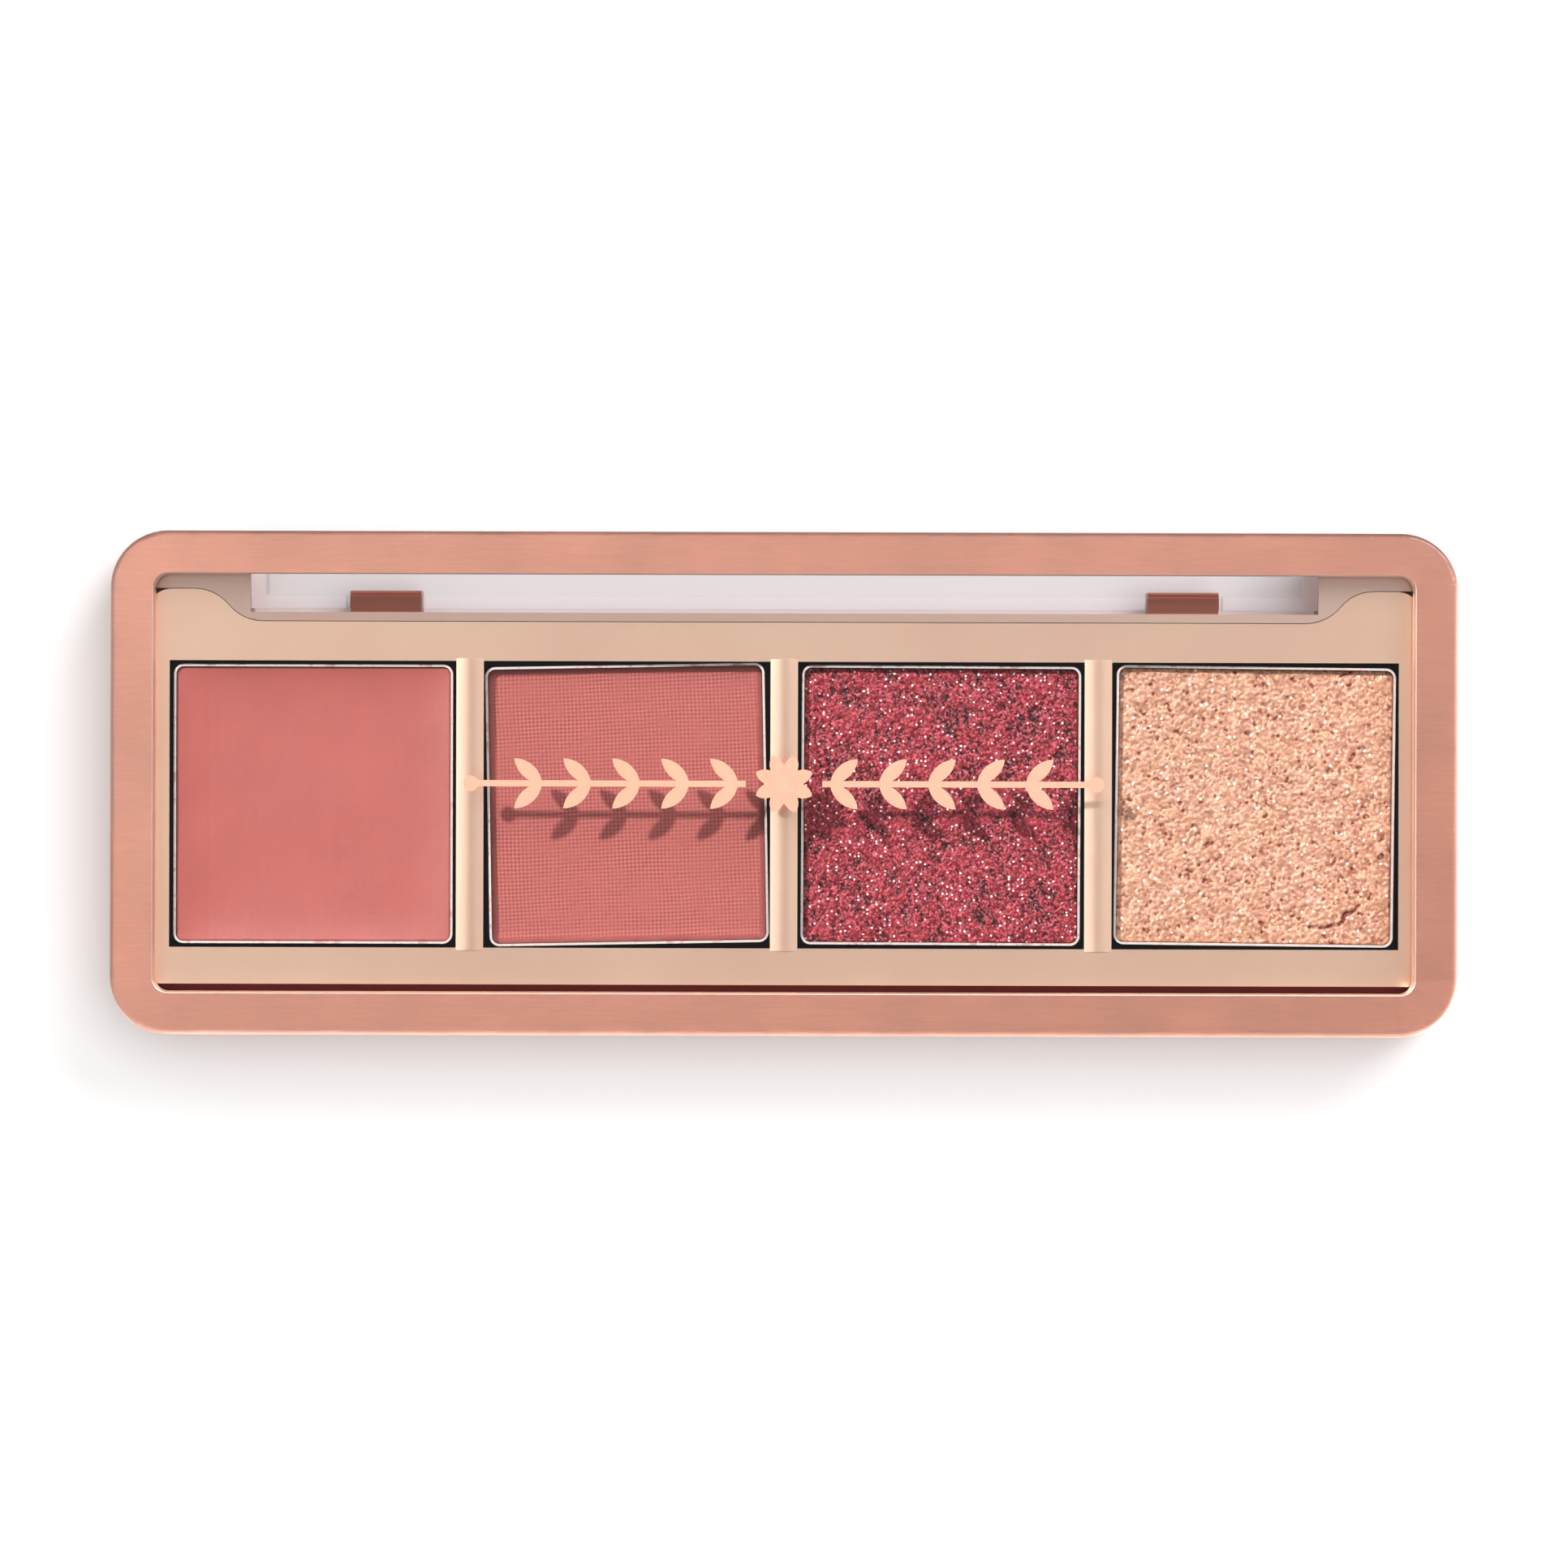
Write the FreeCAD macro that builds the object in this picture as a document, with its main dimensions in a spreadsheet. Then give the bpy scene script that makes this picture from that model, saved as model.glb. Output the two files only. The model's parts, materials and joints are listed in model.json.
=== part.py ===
import FreeCAD, Part
import math
import os
import re

import Sketcher

# A slim four-pan eyeshadow palette with a clear, framed lid that hinges at the back.
#
# Frame: +Z up, +X to the right, the hinge at +Y, origin on the table under the middle of the case. Sizes in mm.
# The case is a plated base shell that holds a tray with four square wells. Each well holds a tin pan, glued to
# its floor, with a pressed or poured cake in it. The lid is a clear cover with a plated frame bonded under its
# edge. A hollow block under the cover's rear edge drops into an opening of the base and turns on two steel pins.

SIZES = {
    # the whole case, seen from above
    "length": 108.0,
    "width": 40.4,
    "corner": 4.6,
    # base shell
    "base_height": 6.6,
    "floor": 1.4,
    "base_round": 0.9,
    "rim": 2.6,
    "shelf_level": 6.1,
    "thumb_length": 14.0,
    "thumb_depth": 0.7,
    "thumb_drop": 1.1,
    "label_length": 62.0,
    "label_width": 20.0,
    "label_corner": 2.0,
    "label_thick": 0.1,
    "label_gap": 0.2,
    "label_recess": 0.15,
    # hinge
    "hinge_inset": 1.7,
    "hinge_level": 4.2,
    "pin_radius": 0.6,
    "pin_length": 12.6,
    "pin_sunk": 1.7,
    "pin_tip": 0.15,
    "running_gap": 0.05,
    "heel_radius": 2.3,
    "recess_length": 86.0,
    "recess_front": 13.75,
    "side_gap": 0.25,
    "tab_spacing": 64.2,
    "tab_length": 5.7,
    "tab_rear": 15.5,
    "tab_level": 6.0,
    "tab_round": 0.5,
    "tab_gap": 0.3,
    # tray
    "tray_gap": 0.06,
    "groove": 1.4,
    "tray_rear": 15.6,
    "tray_middle": 13.0,
    "bend_outer": 47.5,
    "bend_inner": 42.0,
    "front_corner": 1.0,
    "rear_corner": 2.0,
    "tray_level": 6.3,
    "tray_plate": 0.8,
    "well": 23.1,
    "pitch": 25.3,
    "well_centre": -1.7,
    "well_floor": 2.3,
    "well_wall": 0.9,
    "divider_rise": 0.15,
    "divider_over": 0.2,
    # pans, cakes and glue
    "pan": 22.5,
    "pan_height": 3.2,
    "pan_wall": 0.18,
    "pan_corner": 0.8,
    "pan_base_round": 0.5,
    "cake_gap": 0.02,
    "cake_round": 0.2,
    "glue_radius": 8.0,
    "glue_thick": 0.1,
    "cream_turn": 0.0,
    "matte_turn": 1.1,
    "burgundy_turn": -0.2,
    "gold_turn": -0.6,
    "cream_fill": 2.8,
    "matte_fill": 2.3,
    "burgundy_fill": 2.55,
    "gold_fill": 2.6,
    # lid
    "lid_height": 3.8,
    "cover_thick": 1.0,
    "cover_edge": 0.4,
    "border": 3.45,
    "window_corner": 1.1,
    "window_edge": 0.15,
    "frame_inset": 0.2,
    "frame_wall": 1.4,
    "flange": 0.8,
    "window_wall": 0.8,
    "wall_lift": 0.3,
    "block_front": 14.0,
    "block_wall": 1.1,
    "block_toe": 3.4,
    "block_deck": 7.8,
    "block_root": 0.3,
    "boss_length": 2.6,
    "latch_length": 8.0,
    "latch_thick": 0.7,
    "latch_drop": 1.2,
    "latch_gap": 0.2,
    # foil ornament under the window
    "foil_length": 51.4,
    "foil_height": 4.9,
    "foil_thick": 0.1,
    "foil_stem": 0.5,
    "foil_leaf": 3.0,
    "foil_leaf_width": 1.15,
    "foil_bead": 0.62,
}
PAST = 1.0  # how far a cut runs past the solid, in mm
ROOT = 0.25  # how deep an added feature starts inside the solid, in mm
UNDERSIDE = "0"  # the level of a piece's own lowest face
SHADES = ("cream", "matte", "burgundy", "gold")
LEAF_PAIRS = 5
LEAF_ANGLE = 42.0
PETALS = 8

doc = FreeCAD.newDocument("EyeshadowPalette")
sheet = doc.addObject("Spreadsheet::Sheet", "Sizes")
sums = doc.addObject("Spreadsheet::Sheet", "Sums")
sub_parts = []


def fill_sheet():
    """Writes the driving dimensions, one row each: a name, and the number with that name as its alias."""
    for row, (alias, number) in enumerate(SIZES.items(), start=1):
        sheet.set(f"A{row}", alias)
        sheet.set(f"B{row}", str(number))
        sheet.setAlias(f"B{row}", alias)
    doc.recompute()


def bound(text):
    """An expression over the sheet's aliases, as FreeCAD wants it."""
    return re.sub(r"[a-z_]+", lambda m: "Sizes." + m.group() if m.group() in SIZES else m.group(), text)


def number(text):
    """The value of an expression over the sheet's aliases, worked out in a cell of a second sheet."""
    sums.set("A1", "=" + bound(text))
    sums.recompute()
    return float(sums.get("A1"))


def keep(part, name):
    """Counts an object as a sub-part of the palette, under its own name."""
    part.Label = name
    sub_parts.append(part)
    return part


# ---- sketches and features -------------------------------------------------------------------------------


def new_sketch(body, name, role, offset):
    """An empty sketch on one of the body's own origin planes, moved along that plane's normal."""
    sketch = body.newObject("Sketcher::SketchObject", name)
    plane = next(f for f in body.Origin.OriginFeatures if f.Role == role)
    sketch.AttachmentSupport = [(plane, "")]
    sketch.MapMode = "FlatFace"
    sketch.setExpression("AttachmentOffset.Base.z", bound(offset))
    return sketch


def place_vertex(sketch, edge, end, x, y, name):
    """Fixes a vertex at x, y from the sketch's origin. Both are expressions."""
    for kind, text in (("DistanceX", x), ("DistanceY", y)):
        index = sketch.addConstraint(Sketcher.Constraint(kind, -1, 1, edge, end, number(text)))
        sketch.renameConstraint(index, f"{name}_{kind[-1]}")
        sketch.setExpression(f"Constraints.{name}_{kind[-1]}", bound(text))


def arc_between(start, end, radius, ccw):
    """The minor arc from start to end. Arcs here run counter-clockwise, so a clockwise one is made end first."""
    first, last = (start, end) if ccw else (end, start)
    chord = last - first
    across = FreeCAD.Vector(-chord.y, chord.x, 0).normalize()
    rise = math.sqrt(max(radius**2 - (chord.Length / 2) ** 2, 0))
    centre = first + chord * 0.5 + across * rise
    turn = [math.atan2(p.y - centre.y, p.x - centre.x) for p in (first, last)]
    circle = Part.Circle(centre, FreeCAD.Vector(0, 0, 1), radius)
    return Part.ArcOfCircle(circle, turn[0], turn[1] if turn[1] > turn[0] else turn[1] + 2 * math.pi)


def outline(sketch, corners, arcs=None, tag="p"):
    """Draws a closed outline. corners are pairs of expressions. arcs maps an edge's index to (radius, ccw)."""
    arcs = arcs or {}
    at = [FreeCAD.Vector(number(x), number(y), 0) for x, y in corners]
    edges = []
    for i, start in enumerate(at):
        end = at[(i + 1) % len(at)]
        if i in arcs:
            radius, ccw = arcs[i]
            shape = arc_between(start, end, number(radius), ccw)
        else:
            ccw, shape = True, Part.LineSegment(start, end)
        edges.append((sketch.addGeometry(shape, False), 1 if ccw else 2, 2 if ccw else 1))
    for i, (edge, _, tail) in enumerate(edges):
        after, head, _ = edges[(i + 1) % len(edges)]
        sketch.addConstraint(Sketcher.Constraint("Coincident", edge, tail, after, head))
    for i, (edge, head, _) in enumerate(edges):
        place_vertex(sketch, edge, head, *corners[i], f"{tag}{i}")
        if i in arcs:
            index = sketch.addConstraint(Sketcher.Constraint("Radius", edge, number(arcs[i][0])))
            sketch.renameConstraint(index, f"{tag}{i}_R")
            sketch.setExpression(f"Constraints.{tag}{i}_R", bound(arcs[i][0]))


def rectangle(sketch, x_low, x_high, y_low, y_high, tag="p"):
    """Draws an upright rectangle between four expressions."""
    outline(sketch, [(x_low, y_low), (x_high, y_low), (x_high, y_high), (x_low, y_high)], tag=tag)


def centred(sketch, length, width, tag="p"):
    """Draws a rectangle centred on the sketch's origin."""
    rectangle(sketch, f"-({length})/2", f"({length})/2", f"-({width})/2", f"({width})/2", tag=tag)


def rounded(sketch, length, width, radius):
    """Draws a rectangle with round corners, centred on the sketch's origin."""
    corners = []
    for x, y in (("", ""), ("-", ""), ("-", "-"), ("", "-")):
        on_side = (f"{x}({length})/2", f"{y}(({width})/2 - ({radius}))")
        on_end = (f"{x}(({length})/2 - ({radius}))", f"{y}({width})/2")
        corners += [on_side, on_end] if x == y else [on_end, on_side]
    outline(sketch, corners, arcs={i: (radius, True) for i in range(0, 8, 2)})


def circle(sketch, x, y, radius):
    """Draws a circle at x, y."""
    centre = FreeCAD.Vector(number(x), number(y), 0)
    edge = sketch.addGeometry(Part.Circle(centre, FreeCAD.Vector(0, 0, 1), number(radius)), False)
    place_vertex(sketch, edge, 3, x, y, "centre")
    index = sketch.addConstraint(Sketcher.Constraint("Radius", edge, number(radius)))
    sketch.renameConstraint(index, "R")
    sketch.setExpression("Constraints.R", bound(radius))


def extrude(body, kind, sketch, length, reverse=False):
    """A Pad or a Pocket of the sketch. A Pad follows the plane's normal and a Pocket goes against it."""
    feature = body.newObject(f"PartDesign::{kind}", f"{sketch.Name}_{kind}")
    feature.Profile = sketch
    feature.setExpression("Length", bound(length))
    feature.Reversed = reverse
    before = feature.BaseFeature.Shape.Volume if feature.BaseFeature else 0.0
    doc.recompute()
    changed = feature.Shape.Volume - before
    if (changed > -1e-6) if kind == "Pocket" else (changed < 1e-6):
        raise RuntimeError(f"{feature.Name} changed the volume by {changed}")
    return feature


def plate(body, name, level, height, length, width):
    """A centred slab from level up to level + height."""
    sketch = new_sketch(body, name, "XY_Plane", level)
    centred(sketch, length, width)
    return extrude(body, "Pad", sketch, height)


def edges_where(feature, test):
    """The names of the feature's edges whose bounding box passes the test."""
    return [f"Edge{i}" for i, e in enumerate(feature.Shape.Edges, start=1) if test(e.BoundBox)]


def upright(x=None, y=None):
    """A test for an edge parallel to Z, optionally at |x| and |y|."""

    def test(box):
        return (
            box.ZLength > 0.05
            and box.XLength < 1e-4
            and box.YLength < 1e-4
            and (x is None or abs(abs(box.XMin) - number(x)) < 1e-3)
            and (y is None or abs(abs(box.YMin) - number(y)) < 1e-3)
        )

    return test


def at_level(level, inside=None):
    """A test for an edge that lies flat at a level, optionally within |x| of inside."""

    def test(box):
        flat = box.ZLength < 1e-4 and abs(box.ZMin - number(level)) < 1e-3
        return flat and (inside is None or max(abs(box.XMin), abs(box.XMax)) < number(inside))

    return test


def fillet(body, feature, radius, test, name):
    """Rounds the edges of the feature that pass the test."""
    names = edges_where(feature, test)
    if not names:
        raise RuntimeError(f"{name} found no edges")
    rounded = body.newObject("PartDesign::Fillet", name)
    rounded.Base = (feature, names)
    rounded.setExpression("Radius", bound(radius))
    doc.recompute()
    return rounded


def repeat(body, feature, sketch, count, name):
    """Repeats a feature along the sketch's horizontal axis, a pitch apart."""
    pattern = body.newObject("PartDesign::LinearPattern", name)
    pattern.Originals = [feature]
    pattern.Direction = (sketch, ["H_Axis"])
    pattern.Occurrences = count
    pattern.setExpression("Length", bound(f"pitch*{count - 1}"))
    body.Tip = pattern
    doc.recompute()
    return pattern


# ---- the base --------------------------------------------------------------------------------------------


def tray_outline(sketch, half_x, front, gap):
    """The tray's outline in plan, with its rear edge and bends moved back by a gap.

    The rear edge bends forward round the hinge recess, by two equal arcs at each end.
    """
    rear, middle = f"(tray_rear + {gap})", f"(tray_middle + {gap})"
    halfway = "(bend_outer + bend_inner)/2", f"(tray_rear + tray_middle)/2 + {gap}"
    run, drop = "(bend_outer - bend_inner)", "(tray_rear - tray_middle)"
    radius = f"({run}^2 + {drop}^2)/(4*{drop})"
    corners = [
        (f"-{half_x}", front),
        (half_x, front),
        (half_x, rear),
        ("bend_outer", rear),
        halfway,
        ("bend_inner", middle),
        ("-bend_inner", middle),
        (f"-{halfway[0]}", halfway[1]),
        ("-bend_outer", rear),
        (f"-{half_x}", rear),
    ]
    bends = {3: (radius, True), 4: (radius, False), 6: (radius, False), 7: (radius, True)}
    outline(sketch, corners, arcs=bends)


def round_tray_corners(body, feature, half_x, name):
    """Rounds the corners of the tray's outline: tight at the front and wide at the rear."""
    sides = upright(half_x)
    front = fillet(body, feature, "front_corner", lambda box: sides(box) and box.YMin < 0, f"{name}Front")
    return fillet(body, front, "rear_corner", lambda box: sides(box) and box.YMin > 0, f"{name}Rear")


def cut_cavity(body):
    """The hollow for the tray, with a shelf behind it that shows round the hinge."""
    shelf = new_sketch(body, "Shelf", "XY_Plane", "base_height")
    centred(shelf, "length - 2*rim", "width - 2*rim")
    extrude(body, "Pocket", shelf, "base_height - shelf_level")
    deep = new_sketch(body, "TrayCavity", "XY_Plane", "shelf_level")
    tray_outline(deep, "(length/2 - rim)", "-(width/2 - rim)", "tray_gap")
    extrude(body, "Pocket", deep, "shelf_level - floor")


def cut_hinge_recess(body):
    """The opening right through the rear wall and floor for the lid's hinge block."""
    sketch = new_sketch(body, "Recess", "XY_Plane", "base_height")
    rectangle(sketch, "-recess_length/2", "recess_length/2", "recess_front", f"width/2 + {PAST}")
    extrude(body, "Pocket", sketch, f"base_height + {PAST}")


def add_tabs(body):
    """Two tabs on the recess's front wall, which stand in notches of the hinge block."""
    sketch = new_sketch(body, "Tabs", "XY_Plane", f"floor - {ROOT}")
    for side, sign in (("left", "-"), ("right", "")):
        low, high = f"{sign}tab_spacing/2 - tab_length/2", f"{sign}tab_spacing/2 + tab_length/2"
        rectangle(sketch, low, high, f"recess_front - {ROOT}", "tab_rear", tag=side)
    tabs = extrude(body, "Pad", sketch, f"tab_level - floor + {ROOT}")
    top, rear = at_level("tab_level", inside="recess_length/2"), number("tab_rear") - PAST / 2
    fillet(body, tabs, "tab_round", lambda box: top(box) and box.YMin > rear, "TabTops")


def cut_heel(body):
    """Rounds the rear wall's top about the hinge axis, so that the lid's rear edge swings past it."""
    sketch = new_sketch(body, "Heel", "YZ_Plane", f"length/2 + {PAST}")
    axis, top, back = "(width/2 - hinge_inset)", f"base_height + {PAST}", f"(width/2 + {2 * PAST})"
    outline(
        sketch,
        [
            (axis, "hinge_level + heel_radius"),
            (f"{axis} + heel_radius", "hinge_level"),
            (back, "hinge_level"),
            (back, top),
            (axis, top),
        ],
        arcs={0: ("heel_radius", False)},
    )
    extrude(body, "Pocket", sketch, f"length + {2 * PAST}")


def make_base():
    """The plated lower shell."""
    body = keep(doc.addObject("PartDesign::Body", "BaseShell"), "base_shell")
    slab = plate(body, "Base", UNDERSIDE, "base_height", "length", "width")
    walls = fillet(body, slab, "corner", upright(), "BaseCorners")
    fillet(body, walls, "base_round", at_level(UNDERSIDE), "BaseBottomRound")
    cut_cavity(body)
    cut_hinge_recess(body)
    add_tabs(body)
    cut_heel(body)
    bore = new_sketch(body, "PinHoles", "YZ_Plane", f"length/2 + {PAST}")
    circle(bore, "width/2 - hinge_inset", "hinge_level", "pin_radius")
    extrude(body, "Pocket", bore, f"length + {2 * PAST}")
    thumb = new_sketch(body, "ThumbNotch", "XY_Plane", "base_height")
    rectangle(
        thumb, "-thumb_length/2", "thumb_length/2", f"-width/2 - {PAST}", "-width/2 + thumb_depth"
    )
    extrude(body, "Pocket", thumb, "thumb_drop")
    socket = new_sketch(body, "LatchSocket", "XY_Plane", "base_height")
    half, outer = "(latch_length/2 + latch_gap)", "(-width/2 + frame_wall)"
    rectangle(socket, f"-{half}", half, f"{outer} - latch_gap", f"{outer} + latch_thick + latch_gap")
    extrude(body, "Pocket", socket, "latch_drop + latch_gap")
    recess = new_sketch(body, "LabelRecess", "XY_Plane", UNDERSIDE)
    centred(recess, "label_length + 2*label_gap", "label_width + 2*label_gap")
    extrude(body, "Pocket", recess, "label_recess", reverse=True)


def make_label():
    """The blank film label in the base's underside."""
    body = keep(doc.addObject("PartDesign::Body", "BaseLabel"), "base_label")
    film = plate(body, "Label", "label_recess - label_thick", "label_thick", "label_length", "label_width")
    fillet(body, film, "label_corner", upright(), "LabelCorners")


def make_pins():
    """The two steel hinge pins, pressed in from the ends of the base."""
    for name, sign, turn in (("hinge_pin_left", "-", 90), ("hinge_pin_right", "", -90)):
        rod = doc.addObject("Part::Cylinder", name + "_rod")
        rod.setExpression("Radius", bound("pin_radius"))
        rod.setExpression("Height", bound("pin_length"))
        doc.recompute()
        pin = keep(doc.addObject("Part::Chamfer", name), name)
        pin.Base = rod
        flat = [i for i, e in enumerate(rod.Shape.Edges, start=1) if e.BoundBox.ZLength < 1e-4]
        pin.Edges = [(i, number("pin_tip"), number("pin_tip")) for i in flat]
        pin.Placement.Rotation = FreeCAD.Rotation(FreeCAD.Vector(0, 1, 0), turn)
        pin.setExpression("Placement.Base.x", bound(f"{sign}(length/2 - pin_sunk)"))
        pin.setExpression("Placement.Base.y", bound("width/2 - hinge_inset"))
        pin.setExpression("Placement.Base.z", bound("hinge_level"))


# ---- the tray and what is in it --------------------------------------------------------------------------


def make_tray():
    """The tray: a plate round the hinge recess, a box of wells under it and a low rounded bar between wells."""
    body = keep(doc.addObject("PartDesign::Body", "PanTray"), "pan_tray")
    half_x = "(length/2 - rim - tray_gap)"
    sketch = new_sketch(body, "TrayPlate", "XY_Plane", "tray_level - tray_plate")
    tray_outline(sketch, half_x, "(-width/2 + rim + groove)", "0")
    top = extrude(body, "Pad", sketch, "tray_plate")
    round_tray_corners(body, top, half_x, "Tray")
    box = new_sketch(body, "WellBox", "XY_Plane", "floor")
    box_x, box_y = "(1.5*pitch + well/2 + well_wall)", "(well/2 + well_wall)"
    rectangle(box, f"-{box_x}", box_x, f"well_centre - {box_y}", f"well_centre + {box_y}")
    extrude(body, "Pad", box, "tray_level - floor")
    well = new_sketch(body, "Well", "XY_Plane", "tray_level")
    rectangle(
        well, "-1.5*pitch - well/2", "-1.5*pitch + well/2", "well_centre - well/2", "well_centre + well/2"
    )
    cut = extrude(body, "Pocket", well, "tray_level - well_floor")
    repeat(body, cut, well, len(SHADES), "Wells")
    bar = new_sketch(body, "Divider", "XZ_Plane", "-(well_centre + well/2 + divider_over)")
    left, right = "(-pitch - (pitch - well)/2)", "(-pitch + (pitch - well)/2)"
    low = f"tray_level - {ROOT}"
    outline(
        bar,
        [(left, low), (right, low), (right, "tray_level"), (left, "tray_level")],
        arcs={2: ("((pitch - well)^2/4 + divider_rise^2)/(2*divider_rise)", True)},
    )
    ridge = extrude(body, "Pad", bar, "well + 2*divider_over")
    repeat(body, ridge, bar, len(SHADES) - 1, "Dividers")


def put_in_well(part, shade, level):
    """Places a pan, a cake or a glue spot over its well's centre, turned as its pan lies."""
    column = SHADES.index(shade) - (len(SHADES) - 1) / 2
    part.Placement.Rotation = FreeCAD.Rotation(FreeCAD.Vector(0, 0, 1), number(f"{shade}_turn"))
    part.setExpression("Placement.Base.x", bound(f"{column}*pitch"))
    part.setExpression("Placement.Base.y", bound("well_centre"))
    part.setExpression("Placement.Base.z", bound(level))


def make_pan(shade):
    """A drawn tin pan."""
    body = keep(doc.addObject("PartDesign::Body", f"{shade}Pan"), f"{shade}_pan")
    slab = plate(body, f"{shade}PanOuter", UNDERSIDE, "pan_height", "pan", "pan")
    sides = fillet(body, slab, "pan_corner", upright(), f"{shade}PanCorners")
    fillet(body, sides, "pan_base_round", at_level(UNDERSIDE), f"{shade}PanBase")
    inside = new_sketch(body, f"{shade}PanInner", "XY_Plane", "pan_height")
    rounded(inside, "pan - 2*pan_wall", "pan - 2*pan_wall", "pan_corner - pan_wall")
    extrude(body, "Pocket", inside, "pan_height - pan_wall")
    put_in_well(body, shade, "well_floor + glue_thick")


def make_cake(shade):
    """The pressed or poured cake in a pan."""
    body = keep(doc.addObject("PartDesign::Body", f"{shade}Cake"), f"{shade}_cake")
    side = "pan - 2*pan_wall - 2*cake_gap"
    slab = plate(body, f"{shade}CakeBlock", UNDERSIDE, f"{shade}_fill", side, side)
    sides = fillet(body, slab, "pan_corner - pan_wall", upright(), f"{shade}CakeCorners")
    fillet(body, sides, "cake_round", at_level(f"{shade}_fill"), f"{shade}CakeTop")
    put_in_well(body, shade, "well_floor + glue_thick + pan_wall")


def make_glue(shade):
    """The glue spot between a pan and its well's floor."""
    spot = keep(doc.addObject("Part::Cylinder", f"{shade}Glue"), f"{shade}_glue")
    spot.setExpression("Radius", bound("glue_radius"))
    spot.setExpression("Height", bound("glue_thick"))
    put_in_well(spot, shade, "well_floor")


# ---- the lid ---------------------------------------------------------------------------------------------


def make_cover():
    """The clear cover, with its hollow hinge block."""
    body = keep(doc.addObject("PartDesign::Body", "LidCover"), "lid_cover")
    under = "(base_height + lid_height - cover_thick)"
    slab = plate(body, "Cover", under, "cover_thick", "length", "width")
    sides = fillet(body, slab, "corner", upright(), "CoverCorners")
    fillet(body, sides, "cover_edge", at_level("base_height + lid_height"), "CoverEdge")
    reach = "(recess_length/2 - side_gap)"
    axis, seat = "(width/2 - hinge_inset)", f"({under} - flange)"
    block = new_sketch(body, "Block", "YZ_Plane", f"-{reach}")
    outline(
        block,
        [
            ("block_front", f"{under} + block_root"),
            ("block_front", "block_toe"),
            (axis, "hinge_level - hinge_inset"),
            ("width/2", "hinge_level"),
            ("width/2", seat),
            ("width/2 - border", seat),
            ("width/2 - border", f"{under} + block_root"),
        ],
        arcs={2: ("hinge_inset", True)},
    )
    extrude(body, "Pad", block, f"2*{reach}")
    hollow = new_sketch(body, "BlockHollow", "XY_Plane", "block_deck")
    inner = f"({reach} - block_wall)"
    rectangle(hollow, f"-{inner}", inner, "block_front + block_wall", "width/2 - block_wall")
    extrude(body, "Pocket", hollow, "block_deck")
    for name, low in (("BossLeft", f"-{reach}"), ("BossRight", f"{reach} - boss_length")):
        boss = new_sketch(body, name, "YZ_Plane", low)
        circle(boss, axis, "hinge_level", "hinge_inset")
        extrude(body, "Pad", boss, "boss_length")
    bore = new_sketch(body, "BlockBore", "YZ_Plane", f"length/2 + {PAST}")
    circle(bore, axis, "hinge_level", "pin_radius + running_gap")
    extrude(body, "Pocket", bore, f"length + {2 * PAST}")
    notches = new_sketch(body, "BlockNotches", "XY_Plane", "tab_level + tab_round")
    for side, sign in (("left", "-"), ("right", "")):
        half = "(tab_length/2 + tab_gap)"
        low, high = f"{sign}tab_spacing/2 - {half}", f"{sign}tab_spacing/2 + {half}"
        rectangle(notches, low, high, f"block_front - {PAST}", "tab_rear + tab_gap", tag=side)
    extrude(body, "Pocket", notches, "tab_level + tab_round")


def make_frame():
    """The plated frame under the cover: a flange, walls at its window and outside, and the latch tongue."""
    body = keep(doc.addObject("PartDesign::Body", "LidFrame"), "lid_frame")
    height = "(lid_height - cover_thick)"
    slab = plate(body, "Frame", "base_height", height, "length - 2*frame_inset", "width - 2*frame_inset")
    fillet(body, slab, "corner - frame_inset", upright(), "FrameCorners")
    window = new_sketch(body, "Window", "XY_Plane", f"base_height + {height}")
    centred(window, "length - 2*border", "width - 2*border")
    hole = extrude(body, "Pocket", window, height)
    opening = fillet(body, hole, "window_corner", upright("length/2 - border"), "WindowCorners")
    upper = at_level(f"base_height + {height}", inside="length/2 - border/2")
    reach = number("width/2 - border/2")
    fillet(body, opening, "window_edge", lambda box: upper(box) and abs(box.YMin) < reach, "WindowEdge")
    inner = "length - 2*frame_wall", "width - 2*frame_wall", "corner - frame_wall"
    inside = new_sketch(body, "SkirtInside", "XY_Plane", "base_height")
    rounded(inside, *inner)
    extrude(body, "Pocket", inside, "wall_lift", reverse=True)
    channel = new_sketch(body, "Channel", "XY_Plane", "base_height + wall_lift")
    rounded(channel, *inner)
    wall = "2*(border - window_wall)"
    centred(channel, f"length - {wall}", f"width - {wall}", tag="wall")
    extrude(body, "Pocket", channel, f"{height} - flange - wall_lift", reverse=True)
    gap = new_sketch(body, "BlockGap", "XY_Plane", "base_height")
    half = "(recess_length/2 - side_gap)"
    rectangle(gap, f"-{half}", half, f"width/2 - border - {PAST}", f"width/2 + {PAST}")
    extrude(body, "Pocket", gap, f"{height} - flange", reverse=True)
    tongue = new_sketch(body, "LatchTongue", "XY_Plane", "base_height - latch_drop")
    outer = "(-width/2 + frame_wall)"
    rectangle(tongue, "-latch_length/2", "latch_length/2", outer, f"{outer} + latch_thick")
    extrude(body, "Pad", tongue, f"latch_drop + {height} - flange/2")


def leaf_shape(length, width, thick):
    """A flat leaf from the origin along +X, between two arcs."""
    tail, tip = FreeCAD.Vector(0, 0, 0), FreeCAD.Vector(length, 0, 0)
    middles = [FreeCAD.Vector(length / 2, side * width / 2, 0) for side in (1, -1)]
    arcs = [Part.Arc(tail, middle, tip).toShape() for middle in middles]
    return Part.Face(Part.Wire(arcs)).extrude(FreeCAD.Vector(0, 0, thick))


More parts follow.
